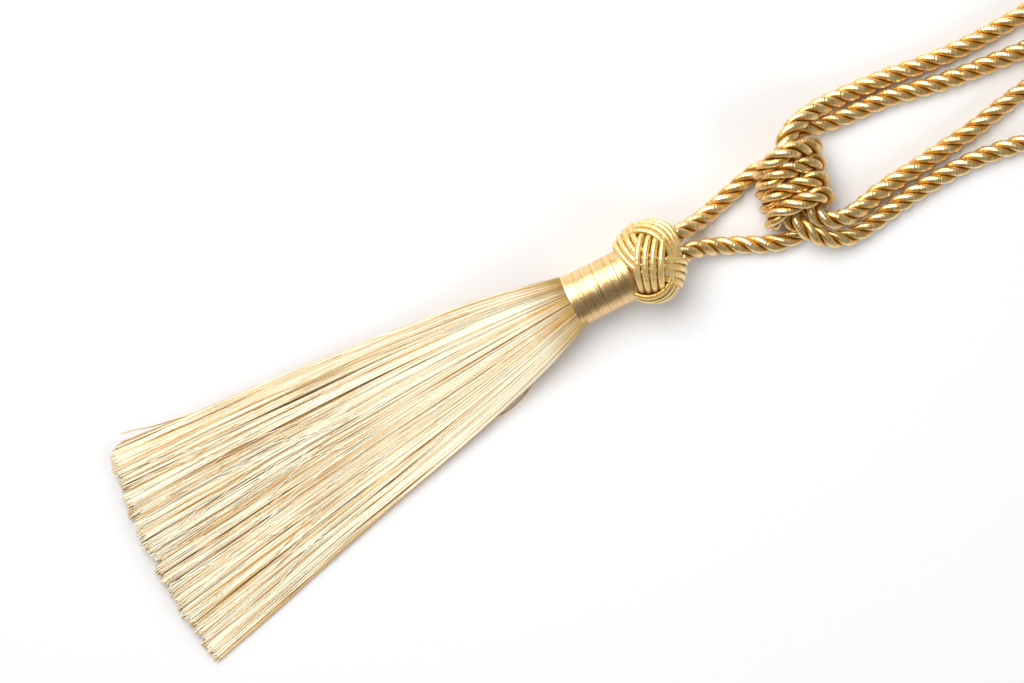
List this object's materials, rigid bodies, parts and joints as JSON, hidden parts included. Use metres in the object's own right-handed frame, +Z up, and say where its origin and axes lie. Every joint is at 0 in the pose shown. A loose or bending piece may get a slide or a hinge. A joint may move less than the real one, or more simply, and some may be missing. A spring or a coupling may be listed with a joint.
{
  "type": "curtain tieback tassel",
  "caption": "Curtain tieback: a long fringed tassel with a thread-wound neck and a ball knot, hung by its own cord wound round a doubled twisted rope embrace.",
  "frame": {"origin": "middle of the flat spot under the ball knot, on the surface the tieback lies on", "axes": "+X along the tieback from the skirt towards the rope's loops, +Y to the tassel's left as seen from its skirt, +Z up from the surface"},
  "size_m": [0.6938, 0.1191, 0.0413],
  "materials": {
    "skirt_thread": "pale gold cut threads with a soft sheen",
    "neck_thread": "satin gold thread wound close round the neck",
    "knot_gimp": "satin gold gimp, thread wound across a core",
    "hanging_rope": "satin gold three-strand twisted rope",
    "embrace_rope": "satin gold three-strand twisted rope"
  },
  "bodies": {
    "root": {"skirt": "skirt_thread", "neck_wrap": "neck_thread", "head_knot": "knot_gimp", "hanging_cord_coil": "hanging_rope", "hanging_cord_leg": "hanging_rope", "embrace_cord": "embrace_rope"}
  },
  "joints": []
}
